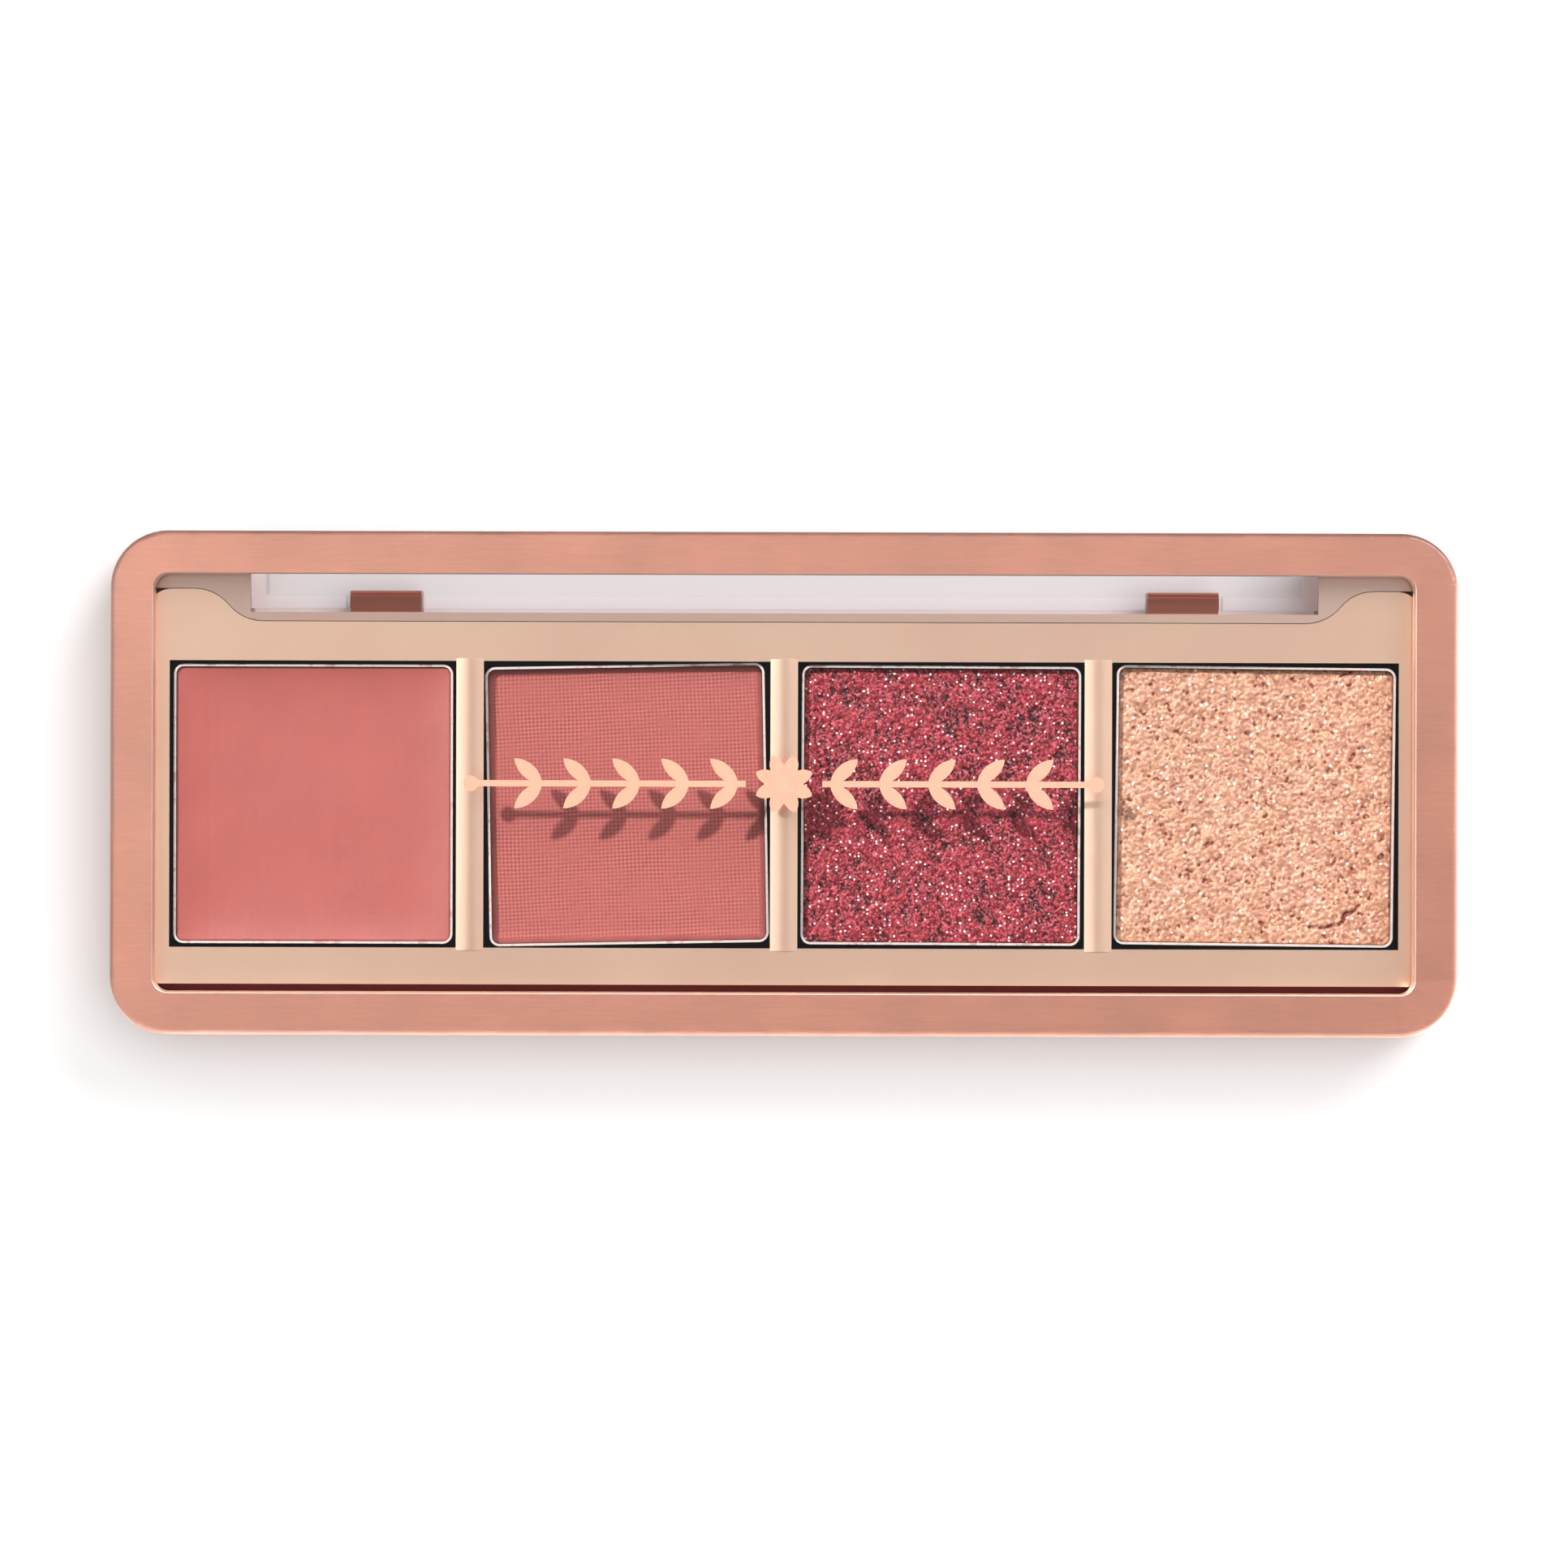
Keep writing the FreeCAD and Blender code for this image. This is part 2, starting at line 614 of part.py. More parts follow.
def make_foil():
    """The foil ornament under the window: an open rosette and a leafy sprig each side of it."""
    foil = keep(doc.addObject("Part::Feature", "FoilMotif"), "foil_motif")
    thick, stem = number("foil_thick"), number("foil_stem")
    half, high, leaf = number("foil_length/2"), number("foil_height/2"), number("foil_leaf")
    width, bead, up = number("foil_leaf_width"), number("foil_bead"), FreeCAD.Vector(0, 0, 1)
    shapes = []
    for i in range(PETALS):
        petal = leaf_shape(high - bead / 2, width, thick)
        petal.translate(FreeCAD.Vector(bead / 2, 0, 0))
        petal.rotate(FreeCAD.Vector(0, 0, 0), up, (i + 0.5) * 360 / PETALS)
        shapes.append(petal)
    start = high + bead
    step = (half - start - leaf) / LEAF_PAIRS
    for side in (0, 180):
        sprig = [Part.makeBox(half - start - bead, stem, thick, FreeCAD.Vector(start, -stem / 2, 0))]
        sprig.append(Part.makeCylinder(bead, thick, FreeCAD.Vector(half - bead, 0, 0)))
        for pair in range(LEAF_PAIRS):
            for angle in (LEAF_ANGLE, -LEAF_ANGLE):
                blade = leaf_shape(leaf, width, thick)
                blade.rotate(FreeCAD.Vector(0, 0, 0), up, angle)
                blade.translate(FreeCAD.Vector(start + bead + pair * step, 0, 0))
                sprig.append(blade)
        whole = sprig[0].multiFuse(sprig[1:]).removeSplitter()
        whole.rotate(FreeCAD.Vector(0, 0, 0), up, side)
        shapes.append(whole)
    rosette = shapes[0].multiFuse(shapes[1:PETALS] + [Part.makeCylinder(bead, thick)]).removeSplitter()
    foil.Shape = Part.makeCompound([s for part in [rosette, *shapes[PETALS:]] for s in part.Solids])
    foil.Placement.Base.z = number("base_height + lid_height - cover_thick - foil_thick")


# ---- build, check and write ------------------------------------------------------------------------------


def check_and_write():
    """Stops on any failed object or bad shape, then writes one STEP file for each sub-part."""
    doc.recompute()
    failed = [o.Name for o in doc.Objects if {"Invalid", "Error"} & set(o.State)]
    if failed:
        raise RuntimeError(f"failed objects: {failed}")
    for part in sub_parts:
        if part.Shape.isNull() or not part.Shape.isValid() or not part.Shape.Solids:
            raise RuntimeError(f"{part.Label} has a bad shape")
    os.makedirs("parts", exist_ok=True)
    for part in sub_parts:
        part.Shape.exportStep(os.path.join("parts", part.Label + ".step"))
        print(f"{part.Label}: {len(part.Shape.Solids)} solid(s), {part.Shape.Volume:.1f} mm3")


fill_sheet()
make_base()
make_label()
make_pins()
make_tray()
for shade_name in SHADES:
    make_pan(shade_name)
    make_cake(shade_name)
    make_glue(shade_name)
make_cover()
make_frame()
make_foil()
check_and_write()
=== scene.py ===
# The looks of a slim four-pan eyeshadow palette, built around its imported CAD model.
#
# The case, tray, pans, hinge and lid are the CAD solids with procedural materials. The four cakes are meshes
# of their own: each is a relief over a square grid, worked out here, inside the solid that it stands for.

import json
import math

import bpy
import numpy as np
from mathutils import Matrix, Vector


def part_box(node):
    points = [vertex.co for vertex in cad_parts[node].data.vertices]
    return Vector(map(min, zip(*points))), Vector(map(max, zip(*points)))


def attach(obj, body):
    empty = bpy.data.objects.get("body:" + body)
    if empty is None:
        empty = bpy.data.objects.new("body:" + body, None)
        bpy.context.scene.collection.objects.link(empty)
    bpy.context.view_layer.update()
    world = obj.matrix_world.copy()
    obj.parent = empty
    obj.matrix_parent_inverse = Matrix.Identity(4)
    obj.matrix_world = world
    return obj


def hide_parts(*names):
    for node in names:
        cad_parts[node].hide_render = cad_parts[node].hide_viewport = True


MM = 0.001
SHADES = ("cream", "matte", "burgundy", "gold")

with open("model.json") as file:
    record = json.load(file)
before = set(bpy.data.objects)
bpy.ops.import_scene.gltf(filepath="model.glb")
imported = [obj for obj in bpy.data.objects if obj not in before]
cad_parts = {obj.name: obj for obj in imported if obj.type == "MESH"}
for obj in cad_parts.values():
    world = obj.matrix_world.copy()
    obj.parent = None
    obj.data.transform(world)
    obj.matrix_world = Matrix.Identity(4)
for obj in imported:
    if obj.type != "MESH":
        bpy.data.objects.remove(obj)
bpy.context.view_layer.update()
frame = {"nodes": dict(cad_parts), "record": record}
NODES = frame["nodes"]
lid_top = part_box("lid_cover")[1].z


# ---- materials -------------------------------------------------------------------------------------------


def rgb(red, green, blue):
    """A colour given as 0 to 255 on a screen, as Blender's linear numbers."""
    levels = (red, green, blue)
    return tuple(((c / 255 + 0.055) / 1.055) ** 2.4 if c > 10 else c / 3295 for c in levels) + (1.0,)


def shaded(colour, factor):
    """The same colour, brighter or darker."""
    return tuple(min(c * factor, 1.0) for c in colour[:3]) + (1.0,)


class Shader:
    """A node material under construction. Its patterns lie in millimetres of the object's own space."""

    def __init__(self, name):
        self.material = bpy.data.materials.new(name)
        self.material.use_nodes = True
        self.tree = self.material.node_tree
        self.tree.nodes.clear()
        coordinates = self.add("TexCoord").outputs["Object"]
        self.place = self.add("Mapping", Vector=coordinates, Scale=(1 / MM,) * 3).outputs[0]

    def feed(self, socket, value):
        """Links a socket to another node's output, or sets its own number or colour."""
        if isinstance(value, bpy.types.NodeSocket):
            self.tree.links.new(value, socket)
        else:
            socket.default_value = value

    def add(self, kind, settings=None, **inputs):
        """A new node. An input's name has _ for each space."""
        node = self.tree.nodes.new("ShaderNode" + kind)
        for key, value in (settings or {}).items():
            setattr(node, key, value)
        for key, value in inputs.items():
            self.feed(node.inputs[key.replace("_", " ")], value)
        return node

    def stretched(self, scale):
        """The place in mm, with each axis multiplied."""
        return self.add("Mapping", Vector=self.place, Scale=scale).outputs[0]

    def noise(self, per_mm, detail=2.0, rough=0.5, place=None):
        """Smooth noise from 0 to 1."""
        where = place or self.place
        return self.add("TexNoise", Vector=where, Scale=per_mm, Detail=detail, Roughness=rough).outputs["Fac"]

    def calc(self, operation, first, second):
        """One sum of two numbers."""
        node = self.add("Math", {"operation": operation})
        self.feed(node.inputs[0], first)
        self.feed(node.inputs[1], second)
        return node.outputs[0]

    def span(self, value, low, high, out_low=0.0, out_high=1.0):
        """Maps the value from one range to another, clamped."""
        node = self.add("MapRange", Value=value)
        self.feed(node.inputs["From Min"], low)
        self.feed(node.inputs["From Max"], high)
        self.feed(node.inputs["To Min"], out_low)
        self.feed(node.inputs["To Max"], out_high)
        return node.outputs["Result"]

    def blend(self, share, first, second):
        """Mixes two colours."""
        node = self.add("Mix", {"data_type": "RGBA"})
        self.feed(node.inputs[0], share)
        self.feed(node.inputs[6], first)
        self.feed(node.inputs[7], second)
        return node.outputs[2]

    def bump(self, height, depth_mm, normal=None):
        """A bump whose height of 1 stands depth_mm high."""
        node = self.add("Bump", Height=height, Distance=depth_mm * MM, Strength=1.0)
        if normal is not None:
            self.feed(node.inputs["Normal"], normal)
        return node.outputs[0]

    def finish(self, surface):
        """Ends the material in this shader."""
        out = self.add("OutputMaterial")
        self.feed(out.inputs["Surface"], surface)
        return self.material

    def principled(self, **inputs):
        """Ends the material in a Principled shader."""
        return self.finish(self.add("BsdfPrincipled", **inputs).outputs[0])


def plated_plastic(name, colour, roughness, streak=0.0, painted_zones=()):
    """Vacuum-plated plastic: a metal skin with cloudy patches, tiny dust specks and lines brushed along X.

    streak is how far the lines darken it. Each zone is a box's two corners in mm and the colour painted
    inside it as light and shade.
    """
    s = Shader(name)
    clouds = s.noise(0.12, 2.0)
    tint = s.blend(s.span(clouds, 0.3, 0.7), shaded(colour, 0.96), shaded(colour, 1.03))
    specks = s.add("TexVoronoi", Vector=s.place, Scale=0.45).outputs["Distance"]
    tint = s.blend(s.span(specks, 0.0, 0.05, 0.7, 0.0), tint, rgb(250, 225, 210))
    grain = s.noise(6.0, 3.0)
    rough = s.span(grain, 0.3, 0.7, roughness * 0.98, roughness * 1.02)
    normal = s.bump(grain, 0.0002)
    if streak:
        lines = s.noise(1.0, 3.0, 0.6, s.stretched((0.5, 14.0, 14.0)))
        tint = s.blend(s.span(lines, 0.35, 0.65, streak, 0.0), tint, shaded(colour, 0.6))
        normal = s.bump(lines, streak * 0.004, normal)
    position = s.add("SeparateXYZ", Vector=s.place).outputs
    # Each zone paints its colour over the tint, in place of the light and shade that fall there.
    for low, high, dark in painted_zones:
        inside = 1.0
        for axis, start, end in zip("XYZ", low, high):
            within = s.calc("LESS_THAN", position[axis], end), s.calc("GREATER_THAN", position[axis], start)
            inside = s.calc("MULTIPLY", inside, s.calc("MULTIPLY", *within))
        tint = s.blend(inside, tint, dark)
    return s.principled(Base_Color=tint, Metallic=1.0, Roughness=rough, Normal=normal)


def tinplate(name, colour, dust):
    """Thin drawn tin, with powder rubbed onto its rim and walls."""
    s = Shader(name)
    smears = s.span(s.noise(0.9, 4.0, 0.6), 0.5, 0.64)
    scuffs = s.noise(1.0, 3.0, 0.6, s.stretched((2.0, 2.0, 14.0)))
    tint = s.blend(s.calc("MULTIPLY", smears, 0.6), colour, dust)
    rough = s.span(smears, 0.0, 1.0, 0.42, 0.7)
    metal = s.span(smears, 0.0, 1.0, 0.9, 0.2)
    return s.principled(Base_Color=tint, Metallic=metal, Roughness=rough, Normal=s.bump(scuffs, 0.002))


def clear_plastic(name, tint):
    """Polished clear plastic that bends what is seen through it, and lets lamps shine through."""
    s = Shader(name)
    ripple = s.bump(s.noise(0.09, 1.0), 0.004)
    haze = s.span(s.noise(0.8, 4.0, 0.65), 0.35, 0.8, 0.0, 0.008)
    glass = s.add("BsdfGlass", Color=tint, Roughness=haze, IOR=1.5, Normal=ripple).outputs[0]
    open_way = s.add("BsdfTransparent", Color=shaded(tint, 0.97)).outputs[0]
    ray = s.add("LightPath").outputs
    indirect = s.calc("MAXIMUM", ray["Is Shadow Ray"], ray["Is Diffuse Ray"])
    mixed = s.add("MixShader", Fac=indirect)
    s.feed(mixed.inputs[1], glass)
    s.feed(mixed.inputs[2], open_way)
    return s.finish(mixed.outputs[0])


def foil_skin(name, colour):
    """Hot-stamped foil, matte enough to read as one bright tone."""
    s = Shader(name)
    grain = s.noise(9.0, 3.0, 0.6)
    tint = s.blend(s.span(grain, 0.3, 0.7), shaded(colour, 0.9), colour)
    rough = s.span(grain, 0.3, 0.7, 0.4, 0.55)
    return s.principled(Base_Color=tint, Metallic=0.35, Roughness=rough, Normal=s.bump(grain, 0.004))


def steel(name, colour):
    """A drawn steel pin with fine lines round it."""
    s = Shader(name)
    rings = s.noise(1.0, 2.0, 0.5, s.stretched((16.0, 1.0, 1.0)))
    tint = s.blend(rings, shaded(colour, 0.8), colour)
    rough = s.span(rings, 0.2, 0.8, 0.15, 0.35)
    return s.principled(Base_Color=tint, Metallic=1.0, Roughness=rough, Normal=s.bump(rings, 0.004))


def paper_film(name, colour):
    """A blank matte label."""
    s = Shader(name)
    fibres = s.noise(5.0, 5.0, 0.7)
    tint = s.blend(s.span(fibres, 0.3, 0.7), shaded(colour, 0.93), colour)
    rough = s.span(fibres, 0.3, 0.7, 0.45, 0.65)
    return s.principled(Base_Color=tint, Roughness=rough, Normal=s.bump(fibres, 0.006))


def dried_glue(name, colour):
    """Milky hot-melt glue."""
    s = Shader(name)
    blobs = s.noise(0.8, 3.0)
    tint = s.blend(blobs, shaded(colour, 0.85), colour)
    return s.principled(
        Base_Color=tint, Roughness=s.span(blobs, 0.3, 0.7, 0.3, 0.5), Normal=s.bump(blobs, 0.03)
    )


def cream_fill(name, colour):
    """Poured cream: satin, with a soft bloom and faint draw lines."""
    s = Shader(name)
    bloom = s.noise(0.22, 3.0, 0.55)
    pores = s.noise(9.0, 3.0, 0.6)
    draw = s.noise(1.0, 2.0, 0.5, s.stretched((2.6, 0.12, 1.0)))
    tint = s.blend(s.span(bloom, 0.3, 0.7), shaded(colour, 0.95), shaded(colour, 1.04))
    tint = s.blend(s.span(draw, 0.3, 0.75, 0.0, 0.25), tint, shaded(colour, 0.88))
    rough = s.span(pores, 0.3, 0.7, 0.42, 0.56)
    normal = s.bump(draw, 0.006, s.bump(pores, 0.006))
    return s.principled(
        Base_Color=tint, Roughness=rough, Coat_Weight=0.08, Coat_Roughness=0.35, Normal=normal
    )


def matte_fill(name, colour):
    """Pressed matte powder: the relief attribute is 0 in the weave's holes, painted as shade, and 1 on its
    threads, painted as highlight.
    """
    s = Shader(name)
    relief = s.add("Attribute", {"attribute_name": "relief"}).outputs["Fac"]
    grains = s.noise(11.0, 4.0, 0.65)
    clouds = s.noise(0.25, 2.0)
    # Painted shade in the weave's holes and painted highlight on its threads.
    tint = s.blend(s.span(relief, 0.15, 0.85), shaded(colour, 0.55), shaded(colour, 1.4))
    tint = s.blend(s.span(clouds, 0.35, 0.65, 0.0, 0.35), tint, shaded(colour, 0.93))
    tint = s.blend(s.span(grains, 0.6, 0.75, 0.0, 0.4), tint, shaded(colour, 1.35))
    rough = s.span(grains, 0.3, 0.7, 0.7, 0.9)
    normal = s.bump(grains, 0.012)
    return s.principled(
        Base_Color=tint, Roughness=rough, Sheen_Weight=0.15, Sheen_Roughness=0.5, Normal=normal
    )


def glitter_fill(name, dark_flake_and_shade, colour, fleck_and_glint, painted_glint, flake_per_mm, glint_per_mm, glint_share, metal):
    """Pressed glitter: crumbs by the relief attribute, painted darker in the hollows as painted shade, flakes
    that each tilt their own way, and painted glints.
    """
    s = Shader(name)
    relief = s.add("Attribute", {"attribute_name": "relief"}).outputs["Fac"]
    flakes = s.add("TexVoronoi", {"voronoi_dimensions": "2D"}, Vector=s.place, Scale=flake_per_mm)
    chance = s.add("SeparateColor", Color=flakes.outputs["Color"]).outputs
    # Painted shade: the dark colour fills where the relief is low.
    tint = s.blend(s.span(relief, 0.15, 0.6), dark_flake_and_shade, colour)
    # Paler flakes, in part the flakes' own colour and in part painted glints.
    tint = s.blend(s.span(chance["Green"], 0.55, 0.95, 0.0, 0.9), tint, fleck_and_glint)
    tint = s.blend(s.span(chance["Blue"], 0.7, 1.0, 0.0, 0.6), tint, dark_flake_and_shade)
    # Painted glints: near-white dots on a share of cells, on the raised crumbs only.
    glints = s.add("TexVoronoi", {"voronoi_dimensions": "2D"}, Vector=s.place, Scale=glint_per_mm)
    core = s.span(glints.outputs["Distance"], 0.16, 0.28, 1.0, 0.0)
    luck = s.add("SeparateColor", Color=glints.outputs["Color"]).outputs["Red"]
    lucky = s.span(luck, 1.0 - glint_share, 1.0 - glint_share * 0.7)
    shine = s.calc("MULTIPLY", s.calc("MULTIPLY", core, lucky), s.span(relief, 0.2, 0.5))
    tint = s.blend(shine, tint, painted_glint)
    facets = s.bump(chance["Blue"], 0.05, s.bump(s.noise(14.0, 3.0), 0.02))
    rough = s.span(chance["Green"], 0.0, 1.0, 0.3, 0.6)
    return s.principled(
        Base_Color=tint, Metallic=metal, Roughness=rough, Specular_IOR_Level=0.3, Normal=facets
    )


# These place the painted zones of shade, reflection and light on the case and tray below.
TAB_FRONT = 13.8  # the hinge tabs stand behind this Y, mm
SHELF_FRONT = 12.9  # and the base's shelf lies behind this one
SHELF_DEPTH = 2.1  # how far the shelf reaches past the tray's rear
GROOVE_FRONT, GROOVE_REAR = 1.8, 2.3  # from the tray's front out over the groove, and from its rear inwards
BESIDE = 0.3  # how far a zone reaches past the tray's ends
SHELF_DROP, TRAY_DROP = 0.4, 0.2  # from the dividers' tops to just under the shelf and the tray's plate
CREAM, MATTE = rgb(156, 74, 66), rgb(155, 77, 70)
BURGUNDY, GOLD = rgb(134, 33, 41), rgb(186, 135, 107)
ROSE, TIN = rgb(229, 192, 175), rgb(220, 210, 202)
tray_low, tray_high = (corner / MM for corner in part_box("pan_tray"))
# The wells' walls below the tray's plate are painted nearly black, as painted shade in the gaps round the
# pans.
well_painted_shade_zone = tray_low - Vector((1, 1, 1)), tray_high + Vector((1, 1, -TRAY_DROP)), rgb(34, 28, 28)
# The base inside the groove round the tray is painted deep red, as painted shade and dark reflection.
groove_painted_shade_zone = (
    tray_low - Vector((BESIDE, GROOVE_FRONT, 0.2)),
    tray_high + Vector((BESIDE, -GROOVE_REAR, -0.5)),
    rgb(200, 70, 60),
)
# The hinge tabs are painted brown, as a painted dark reflection on their glossy plating.
tab_painted_reflection_zone = (
    Vector((tray_low.x, TAB_FRONT, tray_low.z)),
    tray_high - Vector((0, 0, SHELF_DROP)),
    rgb(170, 104, 87),
)
# The base's rear shelf is painted pale, as painted light: the key lamp doesn't reach the base.
shelf_painted_light_zone = (
    Vector((tray_low.x, SHELF_FRONT, tray_high.z - SHELF_DROP)),
    tray_high + Vector((0, SHELF_DEPTH, -TRAY_DROP)),
    rgb(250, 215, 195),
)
materials = {
    "plated_case": plated_plastic(
        "rose_gold_case", rgb(220, 163, 143), 0.32, painted_zones=(groove_painted_shade_zone, tab_painted_reflection_zone, shelf_painted_light_zone)
    ),
    "plated_frame": plated_plastic("rose_gold_frame", ROSE, 0.36, streak=0.2),
    "tray": plated_plastic("champagne_tray", rgb(255, 213, 185), 0.3, painted_zones=(well_painted_shade_zone,)),
    "glue": dried_glue("hot_melt", rgb(236, 230, 214)),
    "pin_steel": steel("pin_steel", rgb(210, 208, 205)),
    "clear": clear_plastic("clear_cover", (0.985, 0.99, 1.0, 1.0)),
    "foil": foil_skin("peach_foil", rgb(222, 170, 142)),
    "label_film": paper_film("label_film", rgb(244, 240, 236)),
    "cream": cream_fill("cream_fill", CREAM),
    "matte_powder": matte_fill("matte_fill", MATTE),
    # Each glitter's first colour is its dark flakes and painted shade, its third paler flakes and painted
    # glints, its fourth painted glints.
    "burgundy_glitter": glitter_fill(
        "burgundy_fill", rgb(40, 8, 12), BURGUNDY, rgb(196, 88, 98), rgb(255, 232, 238), 7.5, 2.8, 0.18, 0.3
    ),
    "gold_glitter": glitter_fill(
        "gold_fill", rgb(118, 56, 40), GOLD, rgb(212, 170, 144), rgb(255, 253, 250), 4.5, 2.2, 0.07, 0.25
    ),
}
dusts = {"cream": CREAM, "matte": MATTE, "burgundy": BURGUNDY, "gold": GOLD}
for shade in SHADES:
    materials[f"{shade}_tin"] = tinplate(f"{shade}_tin", TIN, dusts[shade])


def dress(node, material):
    """Gives a CAD node its material."""
    slots = NODES[node].data.materials
    if not slots:
        slots.append(material)
    for index in range(len(slots)):
        slots[index] = material


for part in frame["record"]["subparts"]:
    node, slot = part["node"], part["material_slot"]
    dress(node, materials[node.replace("_pan", "_tin")] if slot == "tin" else materials[slot])


# ---- the cakes -------------------------------------------------------------------------------------------

GRID = 280  # points along a cake's side
CORNER = 0.55  # a cake's corner radius, mm
EDGE = 0.12  # the round at a cake's upper edge, mm


def lie_of(node):
    """A square CAD solid's centre, side and turn in plan, with its lowest and highest level. In metres."""
    points = np.array([v.co for v in NODES[node].data.vertices])
    turns = np.radians(np.linspace(-2, 2, 161))
    widths = [np.ptp(points[:, 0] * math.cos(a) + points[:, 1] * math.sin(a)) for a in turns]
    low, high = points.min(0), points.max(0)
    return (low + high)[:2] / 2, min(widths), turns[int(np.argmin(widths))], low[2], high[2]


CELL = lie_of("cream_cake")[1] / MM / (GRID - 1)  # the grid's pitch, mm


def soft_noise(grain_mm, seed, stretch=1.0, lean=0.0):
    """Seeded noise over the grid with mean 0 and deviation 1, drawn out along a lean angle in degrees."""
    wave = np.fft.fftfreq(GRID)[:, None], np.fft.fftfreq(GRID)[None, :]
    across, along = math.radians(lean), math.radians(lean + 90)
    first = wave[1] * math.cos(across) + wave[0] * math.sin(across)
    second = (wave[1] * math.cos(along) + wave[0] * math.sin(along)) * stretch
    grain = grain_mm / CELL
    keep = np.exp(-((math.pi * grain) ** 2) * (first**2 + second**2) / 2)
    white = np.random.default_rng(seed).normal(size=(GRID, GRID))
    field = np.fft.ifft2(np.fft.fft2(white) * keep).real
    return (field - field.mean()) / field.std()


def ramp(value, low, high):
    """Smooth steps from 0 at low to 1 at high."""
    share = np.clip((value - low) / (high - low), 0, 1)
    return share * share * (3 - 2 * share)


def cream_relief(x, y, edge):
    """Poured cream that climbs at the pan's walls. Gives depth below the top in mm, and the relief."""
    half = x.max()
    dish = 0.45 * (1 - np.exp((np.abs(x) - half) / 1.5)) * (1 - np.exp((np.abs(y) - half) / 1.5))
    swell = 0.012 * soft_noise(3.0, 11) + 0.0015 * soft_noise(0.35, 12)
    from_left = x + half
    draw_mark = 0.012 * np.exp(-(((from_left - 2.65) / 0.25) ** 2))
    return 0.05 + dish + swell + draw_mark, np.zeros_like(x)


def matte_relief(x, y, edge):
    """Pressed powder with a woven mark, a raised rim on two sides and a slight lean of the threads."""
    pitch = 0.31
    warp = x + 0.02 * y + 0.03 * soft_noise(3.0, 21)
    weft = y - 0.03 * x + 0.03 * soft_noise(3.0, 22)
    threads = np.cos(2 * math.pi * warp / pitch) + np.cos(2 * math.pi * weft / pitch)
    fine = np.clip(0.5 + 0.25 * threads * (1 + 0.25 * soft_noise(0.6, 25)), 0, 1)
    inner = ramp(edge, 0.25, 0.55)
    depth = 0.12 + 0.06 * (1 - fine) * inner + 0.012 * soft_noise(1.5, 23) + 0.006 * soft_noise(0.2, 24)
    inwards = np.minimum(x.max() - x, y - y.min())
    lip = np.exp(-(((inwards - 0.52) / 0.2) ** 2))
    # The relief is 0 in the weave's holes and 1 on its threads: the shader paints shade and highlight by it.
    return depth - 0.09 * lip + 0.1 * (1 - ramp(edge, 0.0, 0.35)), fine * inner + 0.4 * (1 - inner)


def burgundy_relief(x, y, edge):
    """A streaky pile of pressed flakes."""
    streaks = soft_noise(0.14, 31, stretch=2.6, lean=20)
    crumbs = soft_noise(0.11, 32)
    hollows = soft_noise(1.2, 33)
    rise = 0.03 * streaks + 0.025 * crumbs + 0.025 * hollows
    # The relief is lower where the pile is lower, and the shader paints shade there.
    relief = 0.5 + 0.19 * streaks + 0.16 * crumbs + 0.1 * hollows
    return 0.25 - np.clip(rise, -0.2, 0.2) + 0.12 * np.exp(-edge / 0.4), relief


def gold_relief(x, y, edge):
    """Coarse crumbs with pits, and a crack across the lower right corner."""
    lumps = soft_noise(0.8, 41)
    crumbs = np.tanh(1.3 * soft_noise(0.17, 42))
    pits = ramp(soft_noise(0.22, 43), 1.2, 2.4)
    away = np.hypot(x - 5.2, y + 5.4) - 4.3 + 0.25 * soft_noise(0.8, 44)
    part_way = ramp(x - y, 12.0, 14.5) * ramp(y, -11.5, -9.5)
    crack = np.exp(-((away / 0.16) ** 2)) * ramp(-y, 7.2, 8.6) * ramp(x, 3.5, 5.0) * (0.4 + 0.6 * part_way)
    rise = 0.025 * lumps + 0.035 * crumbs - 0.14 * pits - 0.3 * crack
    # The relief drops in the pits and the crack, where the shader paints shade.
    relief = 0.62 + 0.06 * lumps + 0.14 * crumbs - 0.6 * pits - 0.9 * crack
    return 0.22 - np.clip(rise, -0.5, 0.18) + 0.1 * np.exp(-edge / 0.5), relief


